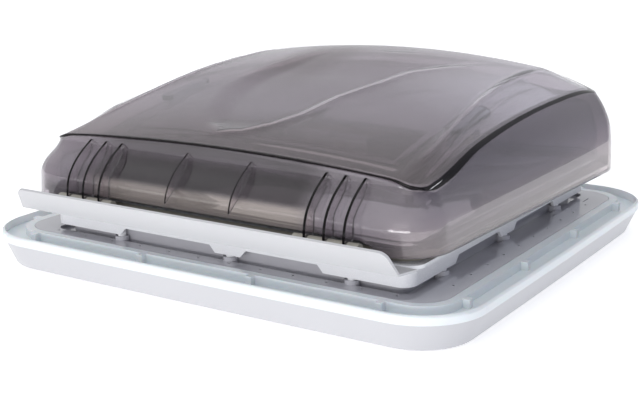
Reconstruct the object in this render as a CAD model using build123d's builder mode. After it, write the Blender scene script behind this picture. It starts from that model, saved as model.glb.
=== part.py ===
from build123d import *
import os

# Caravan roof vent for a 400 x 400 mm roof cut-out, closed, lying on its room side.
# Millimetres. X runs along the hinge, Y to the rear, Z up. The origin is the centre of
# the room-side face of the trim frame.

os.makedirs("parts", exist_ok=True)

# Clearances and walls shared by all pieces
seat_gap = 0.3          # between pieces that rest on each other
run_gap = 0.6           # beside a moving piece
pin_gap = 0.08          # radial, pin in its bore
overrun = 6.0           # how far a cut passes the face it starts from

# Roof and trim sizes
cutout = 400.0
cutout_gap = 2.0        # between the roof cut-out and the skirt
trim_half_x = 261.0
trim_half_y = 245.0
trim_bow = 1.5
trim_corner = 61.0
trim_height = 25.7
trim_taper = 11.0
trim_wall = 2.6
trim_edge = 4.0
trim_lip = 0.9          # the band stands proud of the trim wall by this
opening_half_x = 187.0
opening_half_y = 168.0
opening_corner = 14.0
column_radius = 5.0
column_place_x = 210.0
column_place_y = 192.0
column_top = 23.7

# Ceiling tray: band, floor, platform ring and posts
plateau_top = 34.3
band_wall = 2.6
tray_floor_top = 26.5
tray_floor = 2.0
platform_half_x = 238.0
platform_half_y = 219.5
platform_corner = 36.0
platform_edge = 2.5
ledge_depth = 7.0
ledge_thickness = 2.0
post_width = 6.4
post_places_x = (-201.0, -68.0, 54.0, 184.0)
post_places_y = (59.3, 178.0)

# Carrier frame: plateau, neck, the groove between them, collars, hole rows and slits
plateau_half_x = 229.0
plateau_half_y = 212.0
plateau_corner = 29.0
plateau_thickness = 2.5
neck_outer = 188.0
neck_wall = 2.5
neck_top = 52.0
neck_corner = 12.0
hole_pitch = 34.3
hole_radius = 1.4
front_row_count = 12
side_row_count = 10
front_row_place = 202.9
side_row_place = 216.0
collar_radius = 6.7
collar_height = 3.6
groove_half = 197.5
groove_corner = 10.0
groove_depth = 3.5
groove_wall = 1.5
slit_place_x = 209.2
slit_place_y = 173.5
slit_length = 15.0
slit_width = 1.2

# Outer frame: skirt, tabs, pegs, flange, upstand and hinge knuckles
skirt_wall = 3.0
skirt_corner = 13.0
tab_bottom = 39.7
tab_height = 6.8
middle_tab_half = 20.0
tab_slant = 6.0
corner_tab_start = 107.5
peg_pitch = 127.8
front_peg_shift = 12.0
side_peg_shift = -2.5
peg_radius = 4.0
peg_inset = 4.8
peg_bore = 1.9
flange_bottom = 61.7
flange_thickness = 3.0
flange_half = 212.0
flange_corner = 14.0
upstand_half = 205.0
upstand_wall = 3.0
upstand_top = 72.0
upstand_corner = 20.0

# Hinge
hinge_y = -222.0
hinge_z = 74.5
hinge_pin_radius = 1.6
rib_lug_radius = 5.0
knuckle_radius = 5.5
rib_thickness = 2.6
rib_places = (113.0, 132.2, 151.4)
end_knuckle_width = 11.0
fin_places = (-35.0, 35.0)

# Wind deflector
deflector_half = 206.0
deflector_top_half = 200.0
deflector_front = 232.0
deflector_lean = 12.5
deflector_rise = 21.3
deflector_wall = 2.5
deflector_round = 9.0
gutter_floor = 2.0
gutter_rear_half = 212.0

# Seal on the upstand
seal_wall = 2.2
seal_height = 3.2
seal_drop = 6.5

# Outer dome
dome_bottom = 69.6
dome_height = 114.4
dome_front = 213.5
dome_rear = 221.0
dome_front_half = 222.5
dome_rear_half = 234.0
dome_wall = 3.0
dome_front_raise = 9.8
raise_half = 157.0
raise_slope = 28.0
lip_front = 192.0
lip_rear = 204.0
lip_half = 203.0
lip_bow = 3.0
lip_thickness = 4.0
lip_corner = 18.0
lip_rear_corner = 26.0
crown_reach = 242.0
swoosh_depth = 0.9
swoosh_tilt = 0.45       # degrees, so that it is deepest in front and fades to the rear

# Inner dome
pane_inset = 16.0
pane_drop = 17.0
pane_wall = 2.5
pane_flange_bottom = 75.5
pane_flange_thickness = 2.5
clip_length = 66.0
clip_width = 16.0
clip_thickness = 5.0
clip_place_x = 165.0
clip_place_y = -26.0

# Bow, its brackets, shoes, keepers and rails
bow_pivot_y = -25.0
bow_z = 68.0
bow_half = 176.0
bow_tube_radius = 6.0
bow_tube_wall = 1.2
bow_bend = 14.0
stub_radius = 3.0
hub_radius = 7.0
hub_half_width = 5.0
hub_neck = 9.0
bow_pin_radius = 2.5
lug_thickness = 4.0
lug_width = 16.0
bracket_height = 3.0
bracket_outer = 205.0
shoe_radius = 5.0
shoe_width = 6.0
rail_height = 3.0
rail_start = 22.0
rail_end = 184.0
rail_leg = 12.5
keeper_place = 92.0
keeper_width = 14.0
keeper_wall = 2.4
keeper_reach = 6.0
grip_half = 46.0
grip_front = 30.0
grip_rear = 12.0
grip_above = 8.5
grip_below = 14.5
grip_corner = 9.0
grip_edge = 3.0
button_half = 14.0
button_depth = 12.0
button_place = 18.0
button_proud = 4.5
button_flange = 2.0
spring_half = 9.0
spring_fold = 2.8
spring_width = 8.0
spring_height = 13.0
spring_leaves = 4

# Blind and fly screen
channel_wall = 3.0
channel_outer = 206.0
channel_inner = 190.0
channel_flange = 2.0
channel_gap = 10.0
channel_base = 2.9
channel_half_length = 166.0
bar_half_length = 201.0
bar_edge = 1.5
bar_depth = 12.0
bar_rest_y = 158.0
pull_half = 38.0
pull_drop = 1.6
pull_depth = 5.0
cassette_half = 186.0
cassette_start = 170.0
cassette_depth = 27.0
cassette_wall = 1.8
cassette_top = 29.0
pleat_count = 14
pleat_rise = 2.0
fabric_half = 183.0

# Screws
screw_radius = 1.8
screw_head_radius = 3.4
screw_head_height = 2.4
clamp_screw_length = 22.0
trim_screw_length = 28.0

# Sizes that follow from the ones above
skirt_half = cutout / 2 - cutout_gap
hinge_to_pivot = bow_pivot_y - hinge_y
bow_rear_y = bow_pivot_y + hinge_to_pivot
flange_top = flange_bottom + flange_thickness
tab_top = tab_bottom + tab_height
plateau_bottom = plateau_top - plateau_thickness
groove_bottom = plateau_top - groove_depth - groove_wall
neck_inner = neck_outer - neck_wall
skirt_inner = skirt_half - skirt_wall
peg_line = skirt_half - peg_inset
screen_level = channel_base + channel_flange + channel_gap / 2
blind_level = screen_level + channel_gap + channel_flange
bar_height = channel_gap - 2 * run_gap
rail_top = bow_z - shoe_radius - seat_gap
knuckle_bottom = flange_bottom + gutter_floor + seat_gap

# Plan of the dome wall at rising heights, as shares of the dome's own sizes:
# height, front, rear, front half, rear half, front corner and rear corner
wall_section_shares = (
    (0.0, 1.0, 1.0, 1.0, 1.0, 0.18, 0.23),
    (0.248, 0.995, 1.0, 0.989, 0.987, 0.17, 0.2),
    (0.414, 0.892, 0.996, 0.93, 0.962, 0.115, 0.15),
    (0.572, 0.892, 0.986, 0.903, 0.915, 0.1, 0.12),
    (0.703, 0.892, 0.968, 0.897, 0.868, 0.1, 0.115),
    (1.05, 0.88, 0.918, 0.881, 0.838, 0.095, 0.11),
)
# Top of the dome from front to rear: place along the depth as a share of the rear size,
# heights of lip, crease and crown, and the crease's place across
crown_shares = (
    (-0.973, 0.406, 0.476, 0.528, 0.906),
    (-0.869, 0.446, 0.519, 0.594, 0.906),
    (-0.679, 0.497, 0.589, 0.681, 0.897),
    (-0.407, 0.624, 0.703, 0.777, 0.872),
    (0.0, 0.707, 0.847, 0.913, 0.823),
    (0.407, 0.733, 0.904, 1.0, 0.788),
    (0.724, 0.72, 0.899, 0.996, 0.778),
    (0.905, 0.668, 0.816, 0.913, 0.778),
    (1.09, 0.56, 0.685, 0.775, 0.778),
)
# Outer edge of a hinge rib: place forward of the lip as a share of the rib's reach,
# height as a share of the rib's height over the hinge pin
rib_edge_shares = ((0.0, 1.0), (0.5, 0.77), (0.8, 0.55), (0.94, 0.36), (1.0, 0.13))
# Sunken swoosh on the lid, as shares of the lip's half width and front size
swoosh_left_shares = ((-0.39, 0.31), (-0.405, 0.05), (-0.405, -0.15), (-0.385, -0.31),
                      (-0.35, -0.48), (-0.275, -0.67), (-0.18, -0.79))
swoosh_right_shares = ((-0.1, -0.87), (0.02, -0.83), (0.11, -0.71), (0.17, -0.55), (0.215, -0.28),
                       (0.295, -0.03), (0.35, 0.2), (0.42, 0.34), (0.51, 0.48))


def bowed_outline(half_x, half_y, bow, radius):
    """A rectangle whose four sides bulge out by bow, with rounded corners."""
    corner_x, corner_y = half_x - bow, half_y - bow
    with BuildSketch() as outline:
        with BuildLine():
            ThreePointArc((-corner_x, -corner_y), (0, -half_y), (corner_x, -corner_y))
            ThreePointArc((corner_x, -corner_y), (half_x, 0), (corner_x, corner_y))
            ThreePointArc((corner_x, corner_y), (0, half_y), (-corner_x, corner_y))
            ThreePointArc((-corner_x, corner_y), (-half_x, 0), (-corner_x, -corner_y))
        make_face()
        fillet(outline.vertices(), radius)
    return outline.sketch


def dome_outline(front, rear, front_half, rear_half, front_radius, rear_radius):
    """Plan of the dome: wider at the rear, with its own corner radius at each end."""
    with BuildSketch() as outline:
        with BuildLine():
            Polyline(
                (-front_half, -front), (front_half, -front),
                (rear_half, rear), (-rear_half, rear), close=True,
            )
        make_face()
        fillet(outline.vertices().group_by(Axis.Y)[0], front_radius)
        fillet(outline.vertices().group_by(Axis.Y)[-1], rear_radius)
    return outline.sketch


def wall_section(shares, inset):
    """One plan section of the dome wall, drawn in by inset, with its height."""
    height, front, rear, front_half, rear_half, front_round, rear_round = shares
    outline = dome_outline(
        front * dome_front - inset,
        rear * dome_rear - inset,
        front_half * dome_front_half - inset,
        rear_half * dome_rear_half - inset,
        max(front_round * dome_front_half - inset, dome_wall),
        max(rear_round * dome_rear_half - inset, dome_wall),
    )
    return dome_bottom + height * dome_height, outline


def crown_section(shares):
    """Cross-section of the space under the lid, with flanks carried past the lip."""
    lip, crease, crown, crease_place = shares[1:]
    crease_x = crease_place * lip_half
    lip_z = dome_bottom + lip * dome_height
    crease_z = dome_bottom + crease * dome_height
    crown_z = dome_bottom + crown * dome_height
    fall = (crease_z - lip_z) / (lip_half - crease_x)
    edge_z = crease_z - fall * (crown_reach - crease_x)
    with BuildSketch() as section:
        with BuildLine():
            Polyline((-crease_x, crease_z), (-crown_reach, edge_z), (-crown_reach, dome_bottom),
                     (crown_reach, dome_bottom), (crown_reach, edge_z), (crease_x, crease_z))
            ThreePointArc((crease_x, crease_z), (0, crown_z), (-crease_x, crease_z))
        make_face()
    return section.sketch


def save(part, name):
    """Label one finished piece and write it."""
    part.label = name
    export_step(part, f"parts/{name}.step")


# Tool body: everything under the lid's outer surface
with BuildPart() as crown_tool:
    for station in crown_shares:
        with BuildSketch(Plane.XZ.offset(-station[0] * dome_rear)):
            add(crown_section(station))
    loft()

# Tool body: the space inside the outer dome
with BuildPart() as dome_core:
    for row in wall_section_shares:
        level, plan = wall_section(row, dome_wall)
        with BuildSketch(Plane.XY.offset(level)):
            add(plan)
    loft(ruled=True)
    with Locations((0, 0, -dome_wall)):
        add(crown_tool.part, mode=Mode.INTERSECT)

# Tool body: the lid plate, whose edge stands past the wall as a lip
with BuildPart() as lid_plate:
    with BuildSketch(Plane.XY.offset(dome_bottom)):
        with BuildLine():
            ThreePointArc((-lip_half, -lip_front), (0, -lip_front - lip_bow), (lip_half, -lip_front))
            Line((lip_half, -lip_front), (lip_half, lip_rear))
            Line((lip_half, lip_rear), (-lip_half, lip_rear))
            Line((-lip_half, lip_rear), (-lip_half, -lip_front))
        make_face()
    extrude(amount=dome_height + overrun)
    fillet(lid_plate.edges().filter_by(Axis.Z).group_by(Axis.Y)[0], lip_corner)
    fillet(lid_plate.edges().filter_by(Axis.Z).group_by(Axis.Y)[-1], lip_rear_corner)
    add(crown_tool.part, mode=Mode.INTERSECT)
    with Locations((0, 0, -lip_thickness)):
        add(crown_tool.part, mode=Mode.SUBTRACT)

# Tool body: the sunken swoosh on the lid
with BuildPart() as swoosh:
    left = [(x * lip_half, y * lip_front) for x, y in swoosh_left_shares]
    right = [(x * lip_half, y * lip_front) for x, y in swoosh_right_shares]
    with BuildSketch(Plane.XY.offset(hinge_z + dome_height / 2)):
        with BuildLine():
            Spline(*left)
            Line(left[-1], right[0])
            Spline(*right)
            Line(right[-1], left[0])
        make_face()
    extrude(amount=dome_height)
    with Locations(Location((0, 0, -swoosh_depth), (swoosh_tilt, 0, 0))):
        add(crown_tool.part, mode=Mode.SUBTRACT)

# Outline of a hinge rib or a fin in the plane across the hinge, without its lug
rib_bite = dome_wall / 3
rib_top = dome_bottom + lip_thickness + crown_shares[1][2] * dome_height
rib_reach = rib_lug_radius - hinge_y - wall_section_shares[2][1] * dome_front
wall_line = [(-row[1] * dome_front + rib_bite, dome_bottom + row[0] * dome_height)
             for row in wall_section_shares[1:3]]
edge_line = [(-wall_section_shares[2][1] * dome_front - reach * rib_reach,
              hinge_z + rise * (rib_top - hinge_z)) for reach, rise in rib_edge_shares]
raised_edge = dome_bottom + dome_front_raise


def rib_outline(with_lug):
    """A rib whose edge runs from the lip down to the hinge, or a fin that stops short."""
    foot = [(hinge_y - rib_lug_radius, hinge_z), (hinge_y + rib_lug_radius, hinge_z),
            (wall_line[0][0], raised_edge + rib_bite)]
    edge = edge_line if with_lug else edge_line[:-1]
    with BuildSketch() as outline:
        with BuildLine():
            Spline(*edge)
            Polyline(*edge[-1:], *(foot if with_lug else []), *wall_line,
                     (wall_line[1][0], rib_top), edge[0])
        make_face()
        if with_lug:
            with Locations((hinge_y, hinge_z)):
                Circle(rib_lug_radius)
    return outline.sketch


# Outer dome
with BuildPart() as outer_dome:
    for row in wall_section_shares:
        level, plan = wall_section(row, 0)
        with BuildSketch(Plane.XY.offset(level)):
            add(plan)
    loft(ruled=True)
    add(crown_tool.part, mode=Mode.INTERSECT)
    add(lid_plate.part)
    add(swoosh.part, mode=Mode.SUBTRACT)
    add(dome_core.part, mode=Mode.SUBTRACT)
    raise_bottom = dome_bottom - overrun
    with BuildSketch(Plane.XZ.offset(dome_front - 2 * overrun)):
        with BuildLine():
            Polyline((-raise_half - raise_slope, dome_bottom), (-raise_half, raised_edge),
                     (raise_half, raised_edge), (raise_half + raise_slope, dome_bottom),
                     (raise_half + raise_slope, raise_bottom),
                     (-raise_half - raise_slope, raise_bottom), close=True)
        make_face()
    extrude(amount=3 * overrun, mode=Mode.SUBTRACT)
    hinge_rib = rib_outline(True)
    for place in rib_places:
        for side in (-1, 1):
            with BuildSketch(Plane.YZ.offset(side * place - rib_thickness / 2)):
                add(hinge_rib)
            extrude(amount=rib_thickness)
    fin = rib_outline(False)
    for place in fin_places:
        with BuildSketch(Plane.YZ.offset(place - rib_thickness / 4)):
            add(fin)
        extrude(amount=rib_thickness / 2)
    with BuildSketch(Plane.YZ.offset(-lip_half)):
        with Locations((hinge_y, hinge_z)):
            Circle(hinge_pin_radius + pin_gap)
    extrude(amount=2 * lip_half, mode=Mode.SUBTRACT)
save(outer_dome.part, "outer_dome")

# Inner dome: a clear pane under the lid, with the flange that closes on the seal
pane_top = pane_flange_bottom + pane_flange_thickness
with BuildPart() as pane_core:
    for row in wall_section_shares:
        level, plan = wall_section(row, pane_inset + pane_wall)
        with BuildSketch(Plane.XY.offset(level)):
            add(plan)
    loft(ruled=True)
    with Locations((0, 0, -pane_drop - pane_wall)):
        add(crown_tool.part, mode=Mode.INTERSECT)
with BuildPart() as inner_dome:
    for row in wall_section_shares:
        level, plan = wall_section(row, pane_inset)
        with BuildSketch(Plane.XY.offset(level)):
            add(plan)
    loft(ruled=True)
    with Locations((0, 0, -pane_drop)):
        add(crown_tool.part, mode=Mode.INTERSECT)
    add(pane_core.part, mode=Mode.SUBTRACT)
    split(bisect_by=Plane.XY.offset(pane_flange_bottom), keep=Keep.TOP)
    with BuildSketch(Plane.XY.offset(pane_flange_bottom)):
        flange_shares = wall_section_shares[1][:-2] + wall_section_shares[0][-2:]
        add(wall_section(flange_shares, dome_wall + seat_gap)[1])
        RectangleRounded(2 * skirt_half, 2 * skirt_half, skirt_corner, mode=Mode.SUBTRACT)
    extrude(amount=pane_flange_thickness)
save(inner_dome.part, "inner_dome")

# Clips between the two panes, over the bow brackets
with BuildPart() as dome_clips:
    with BuildSketch(Plane.XY.offset(pane_top)):
        with Locations((-clip_place_x, clip_place_y), (clip_place_x, clip_place_y)):
            RectangleRounded(clip_width, clip_length, clip_width / 4)
    extrude(amount=dome_height)
    with Locations((0, 0, clip_thickness - pane_drop)):
        add(crown_tool.part, mode=Mode.INTERSECT)
    with Locations((0, 0, seat_gap - pane_drop)):
        add(crown_tool.part, mode=Mode.SUBTRACT)
save(dome_clips.part, "dome_clips")

# Trim frame: tapering wall, room-side plate with the opening, and screw columns
trim_top_x = trim_half_x - trim_lip
trim_top_y = trim_half_y - trim_lip
column_places = [(sx * column_place_x, sy * column_place_y) for sx in (-1, 1) for sy in (-1, 1)]
with BuildPart() as trim_frame:
    with BuildSketch(Plane.XY):
        add(bowed_outline(trim_top_x - trim_taper, trim_top_y - trim_taper, trim_bow,
                          trim_corner - trim_taper))
    with BuildSketch(Plane.XY.offset(trim_height)):
        add(bowed_outline(trim_top_x, trim_top_y, trim_bow, trim_corner))
    loft()
    fillet(trim_frame.faces().sort_by(Axis.Z)[0].edges(), trim_edge)
    with BuildSketch(Plane.XY.offset(trim_wall)):
        add(bowed_outline(trim_top_x - trim_taper - trim_wall, trim_top_y - trim_taper - trim_wall,
                          trim_bow, trim_corner - trim_taper - trim_wall))
    with BuildSketch(Plane.XY.offset(trim_height + overrun)):
        add(bowed_outline(trim_top_x - trim_wall, trim_top_y - trim_wall, trim_bow,
                          trim_corner - trim_wall))
    loft(mode=Mode.SUBTRACT)
    with BuildSketch(Plane.XY):
        RectangleRounded(2 * opening_half_x, 2 * opening_half_y, opening_corner)
    extrude(amount=trim_wall, mode=Mode.SUBTRACT)
    with BuildSketch(Plane.XY.offset(trim_wall)):
        with Locations(*column_places):
            Circle(column_radius)
    extrude(amount=column_top - trim_wall)
    with BuildSketch(Plane.XY):
        with Locations(*column_places):
            Circle(screw_radius + pin_gap)
    extrude(amount=column_top, mode=Mode.SUBTRACT)
    with BuildSketch(Plane.XY):
        with Locations(*column_places):
            Circle(screw_head_radius + seat_gap)
    extrude(amount=screw_head_height + seat_gap, mode=Mode.SUBTRACT)
save(trim_frame.part, "trim_frame")

# Ceiling tray: translucent band, floor, platform ring, ledge and posts
floor_half_x = trim_half_x - trim_taper / 2 - trim_wall
floor_half_y = trim_half_y - trim_taper / 2 - trim_wall
band_bottom = trim_height + seat_gap
post_line_x = platform_half_x + post_width / 2
post_line_y = platform_half_y + post_width / 2
post_places = [(x, sy * post_line_y) for x in post_places_x for sy in (-1, 1)]
post_places += [(sx * post_line_x, sy * y) for y in post_places_y for sx in (-1, 1) for sy in (-1, 1)]
with BuildPart() as ceiling_tray:
    with BuildSketch(Plane.XY.offset(band_bottom)):
        add(bowed_outline(trim_half_x, trim_half_y, trim_bow, trim_corner))
        add(bowed_outline(trim_half_x - band_wall, trim_half_y - band_wall, trim_bow,
                          trim_corner - band_wall), mode=Mode.SUBTRACT)
    extrude(amount=plateau_top - band_bottom)
    with BuildSketch(Plane.XY.offset(band_bottom)):
        add(bowed_outline(trim_half_x, trim_half_y, trim_bow, trim_corner))
        RectangleRounded(2 * platform_half_x - 2 * platform_edge,
                         2 * platform_half_y - 2 * platform_edge,
                         platform_corner - platform_edge, mode=Mode.SUBTRACT)
    extrude(amount=tray_floor_top - band_bottom)
    with BuildSketch(Plane.XY.offset(tray_floor_top - tray_floor)):
        add(bowed_outline(floor_half_x, floor_half_y, trim_bow, trim_corner - trim_wall))
        RectangleRounded(2 * plateau_half_x, 2 * plateau_half_y, plateau_corner,
                         mode=Mode.SUBTRACT)
    extrude(amount=tray_floor)
    with BuildSketch(Plane.XY.offset(tray_floor_top - tray_floor)):
        RectangleRounded(2 * platform_half_x, 2 * platform_half_y, platform_corner)
        RectangleRounded(2 * (plateau_half_x + seat_gap), 2 * (plateau_half_y + seat_gap),
                         plateau_corner + seat_gap, mode=Mode.SUBTRACT)
    extrude(amount=plateau_top - tray_floor_top + tray_floor)
    platform_top = ceiling_tray.faces().filter_by(Axis.Z).sort_by(Axis.Z)[-2:]
    fillet(platform_top.sort_by(SortBy.AREA)[0].outer_wire().edges(), platform_edge)
    with BuildSketch(Plane.XY.offset(plateau_bottom - seat_gap - ledge_thickness)):
        RectangleRounded(2 * platform_half_x - platform_edge, 2 * platform_half_y - platform_edge,
                         platform_corner)
        RectangleRounded(2 * (plateau_half_x - ledge_depth), 2 * (plateau_half_y - ledge_depth),
                         plateau_corner - ledge_depth, mode=Mode.SUBTRACT)
    extrude(amount=ledge_thickness)
    with BuildSketch(Plane.XY.offset(tray_floor_top)):
        with Locations(*post_places):
            Rectangle(post_width, post_width)
    extrude(amount=plateau_top - tray_floor_top)
save(ceiling_tray.part, "ceiling_tray")

# Carrier frame: plateau with its hole rows, the groove round the neck, and one solid land
# with a collar for each peg, and blind bosses over the screw columns of the trim
peg_shares = (-1, 0, 1)
peg_places = [(front_peg_shift + share * peg_pitch, side * peg_line)
              for share in peg_shares for side in (-1, 1)]
peg_places += [(side * peg_line, side_peg_shift + share * peg_pitch)
               for share in peg_shares for side in (-1, 1)]
with BuildPart() as carrier_frame:
    with BuildSketch(Plane.XY.offset(plateau_bottom)):
        RectangleRounded(2 * plateau_half_x, 2 * plateau_half_y, plateau_corner)
    extrude(amount=plateau_thickness)
    with BuildSketch(Plane.XY.offset(groove_bottom)):
        RectangleRounded(2 * (groove_half + groove_wall), 2 * (groove_half + groove_wall),
                         groove_corner + groove_wall)
    extrude(amount=plateau_top - groove_bottom)
    with BuildSketch(Plane.XY.offset(plateau_top - groove_depth)):
        RectangleRounded(2 * groove_half, 2 * groove_half, groove_corner)
    extrude(amount=groove_depth, mode=Mode.SUBTRACT)
    with BuildSketch(Plane.XY.offset(groove_bottom)):
        RectangleRounded(2 * neck_outer, 2 * neck_outer, neck_corner)
    extrude(amount=neck_top - groove_bottom)
    with BuildSketch(Plane.XY.offset(groove_bottom)):
        with Locations(*peg_places):
            Circle(collar_radius)
    extrude(amount=plateau_top + collar_height - groove_bottom)
    with BuildSketch(Plane.XY.offset(groove_bottom)):
        with Locations(*peg_places):
            Circle(screw_head_radius + seat_gap)
    extrude(amount=plateau_bottom - groove_bottom, mode=Mode.SUBTRACT)
    with BuildSketch(Plane.XY.offset(plateau_top)):
        with Locations(*peg_places):
            Circle(peg_radius + seat_gap)
    extrude(amount=collar_height, mode=Mode.SUBTRACT)
    with BuildSketch(Plane.XY.offset(plateau_bottom)):
        with Locations(*peg_places):
            Circle(screw_radius + pin_gap)
        with Locations((0, -front_row_place), (0, front_row_place)):
            with GridLocations(hole_pitch, 0, front_row_count, 1):
                Circle(hole_radius)
        with Locations((-side_row_place, 0), (side_row_place, 0)):
            with GridLocations(0, hole_pitch, 1, side_row_count):
                Circle(hole_radius)
        with Locations((-slit_place_x, slit_place_y), (slit_place_x, slit_place_y)):
            Rectangle(slit_width, slit_length)
    extrude(amount=plateau_thickness, mode=Mode.SUBTRACT)
    with BuildSketch(Plane.XY.offset(groove_bottom)):
        RectangleRounded(2 * neck_inner, 2 * neck_inner, neck_corner - neck_wall)
    extrude(amount=neck_top - groove_bottom, mode=Mode.SUBTRACT)
    with BuildSketch(Plane.XY.offset(column_top + seat_gap)):
        with Locations(*column_places):
            Circle(column_radius)
            Circle(screw_radius + pin_gap, mode=Mode.SUBTRACT)
    extrude(amount=plateau_bottom - column_top - seat_gap)
save(carrier_frame.part, "carrier_frame")

# Outer frame: skirt with tabs, pegs, roof flange, upstand and hinge knuckles
rib_pitch = rib_places[1] - rib_places[0]
knuckle_width = rib_pitch - rib_thickness - 2 * run_gap
end_knuckle_offset = rib_thickness / 2 + run_gap + end_knuckle_width / 2
knuckles = [(place + rib_pitch / 2, knuckle_width) for place in rib_places[:-1]]
knuckles += [(rib_places[0] - end_knuckle_offset, end_knuckle_width),
             (rib_places[-1] + end_knuckle_offset, end_knuckle_width)]
arm_top = flange_top + knuckle_radius - run_gap


def notch_outline(shift):
    """The two gaps between the corner tabs and the middle tab of one skirt side."""
    with BuildSketch() as outline:
        for side in (-1, 1):
            inner = shift + side * middle_tab_half
            outer = side * corner_tab_start
            low = tab_bottom - overrun
            lean = side * tab_slant * (tab_height + overrun) / tab_height
            with BuildLine():
                Polyline((inner, tab_top), (outer, tab_top), (outer + lean, low),
                         (inner - lean, low), close=True)
            make_face()
    return outline.sketch


with BuildPart() as outer_frame:
    with BuildSketch(Plane.XY.offset(tab_bottom)):
        RectangleRounded(2 * skirt_half, 2 * skirt_half, skirt_corner)
        RectangleRounded(2 * skirt_inner, 2 * skirt_inner, skirt_corner - skirt_wall,
                         mode=Mode.SUBTRACT)
    extrude(amount=flange_bottom - tab_bottom)
    with BuildSketch(Plane.XZ):
        add(notch_outline(front_peg_shift))
    extrude(amount=skirt_half + overrun, both=True, mode=Mode.SUBTRACT)
    with BuildSketch(Plane.YZ):
        add(notch_outline(side_peg_shift))
    extrude(amount=skirt_half + overrun, both=True, mode=Mode.SUBTRACT)
    with BuildSketch(Plane.XY.offset(flange_bottom)):
        RectangleRounded(2 * flange_half, 2 * flange_half, flange_corner)
        RectangleRounded(2 * skirt_inner, 2 * skirt_inner, skirt_corner - skirt_wall,
                         mode=Mode.SUBTRACT)
    extrude(amount=flange_thickness)
    with BuildSketch(Plane.XY.offset(flange_top)):
        RectangleRounded(2 * upstand_half, 2 * upstand_half, upstand_corner)
        RectangleRounded(2 * upstand_half - 2 * upstand_wall, 2 * upstand_half - 2 * upstand_wall,
                         upstand_corner - upstand_wall, mode=Mode.SUBTRACT)
    extrude(amount=upstand_top - flange_top)
    with BuildSketch(Plane.XY.offset(plateau_top + seat_gap)):
        with Locations(*peg_places):
            Circle(peg_radius)
    extrude(amount=flange_bottom - plateau_top - seat_gap)
    for place, width in knuckles:
        for side in (-1, 1):
            with BuildSketch(Plane.YZ.offset(side * place - width / 2)):
                with BuildLine():
                    Polyline((hinge_y - knuckle_radius, hinge_z),
                             (hinge_y - knuckle_radius, knuckle_bottom),
                             (-upstand_half + upstand_wall / 2, knuckle_bottom),
                             (-upstand_half + upstand_wall / 2, arm_top),
                             (hinge_y + knuckle_radius, arm_top),
                             (hinge_y + knuckle_radius, hinge_z), close=True)
                make_face()
                with Locations((hinge_y, hinge_z)):
                    Circle(knuckle_radius)
            extrude(amount=width)
    with BuildSketch(Plane.YZ.offset(-flange_half)):
        with Locations((hinge_y, hinge_z)):
            Circle(hinge_pin_radius + pin_gap)
    extrude(amount=2 * flange_half, mode=Mode.SUBTRACT)
    with BuildSketch(Plane.XY.offset(plateau_top)):
        with Locations(*peg_places):
            Circle(peg_bore)
    extrude(amount=clamp_screw_length, mode=Mode.SUBTRACT)
save(outer_frame.part, "outer_frame")

# Seal: a cap over the upstand with a lip down its outer side, notched for the knuckles
with BuildPart() as dome_seal:
    with BuildSketch(Plane.XY.offset(upstand_top)):
        RectangleRounded(2 * (upstand_half + seal_wall), 2 * (upstand_half + seal_wall),
                         upstand_corner + seal_wall)
        RectangleRounded(2 * upstand_half - 2 * upstand_wall, 2 * upstand_half - 2 * upstand_wall,
                         upstand_corner - upstand_wall, mode=Mode.SUBTRACT)
    extrude(amount=seal_height)
    fillet(dome_seal.faces().sort_by(Axis.Z)[-1].outer_wire().edges(), seal_wall / 2)
    with BuildSketch(Plane.XY.offset(upstand_top - seal_drop)):
        RectangleRounded(2 * (upstand_half + seal_wall), 2 * (upstand_half + seal_wall),
                         upstand_corner + seal_wall)
        RectangleRounded(2 * (upstand_half + seat_gap), 2 * (upstand_half + seat_gap),
                         upstand_corner + seat_gap, mode=Mode.SUBTRACT)
    extrude(amount=seal_drop)
    notch_depth = seal_wall + overrun
    with BuildSketch(Plane.XY.offset(upstand_top - seal_drop)):
        for place, width in knuckles:
            with Locations((-place, -upstand_half - notch_depth / 2),
                           (place, -upstand_half - notch_depth / 2)):
                Rectangle(width + 2 * seat_gap, notch_depth)
    extrude(amount=arm_top + seat_gap - upstand_top + seal_drop, mode=Mode.SUBTRACT)
save(dome_seal.part, "dome_seal")

# Hinge pins, one through each group of knuckles
pin_start = rib_places[0] - rib_thickness / 2 - run_gap - end_knuckle_width
pin_length = rib_places[-1] - rib_places[0] + rib_thickness + 2 * (run_gap + end_knuckle_width)
for side, name in ((-1, "hinge_pin_left"), (1, "hinge_pin_right")):
    start = pin_start if side > 0 else -pin_start - pin_length
    with BuildPart() as hinge_pin:
        with BuildSketch(Plane.YZ.offset(start)):
            with Locations((hinge_y, hinge_z)):
                Circle(hinge_pin_radius)
        extrude(amount=pin_length)
        chamfer(hinge_pin.edges().filter_by(GeomType.CIRCLE), hinge_pin_radius / 4)
    save(hinge_pin.part, name)

# Wind deflector: a blade that leans forward over a gutter floor
blade_length = (deflector_lean ** 2 + deflector_rise ** 2) ** 0.5
blade_plane = Plane(origin=(0, -deflector_front, flange_bottom), x_dir=(1, 0, 0),
                    z_dir=(0, -deflector_rise, -deflector_lean))
with BuildPart() as wind_deflector:
    with BuildSketch(Plane.XY.offset(flange_bottom)):
        with BuildLine():
            Polyline((-deflector_half, -deflector_front), (deflector_half, -deflector_front),
                     (gutter_rear_half, -flange_half - seat_gap),
                     (-gutter_rear_half, -flange_half - seat_gap), close=True)
        make_face()
    extrude(amount=gutter_floor)
    with BuildSketch(blade_plane):
        with BuildLine():
            Polyline((-deflector_half, 0), (-deflector_top_half, blade_length),
                     (deflector_top_half, blade_length), (deflector_half, 0), close=True)
        make_face()
    extrude(amount=-deflector_wall)
    blade_ends = wind_deflector.edges().filter_by(Axis((0, 0, 0), blade_plane.z_dir))
    fillet(blade_ends.group_by(Axis.Z)[-1], deflector_round)
save(wind_deflector.part, "wind_deflector")

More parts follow.
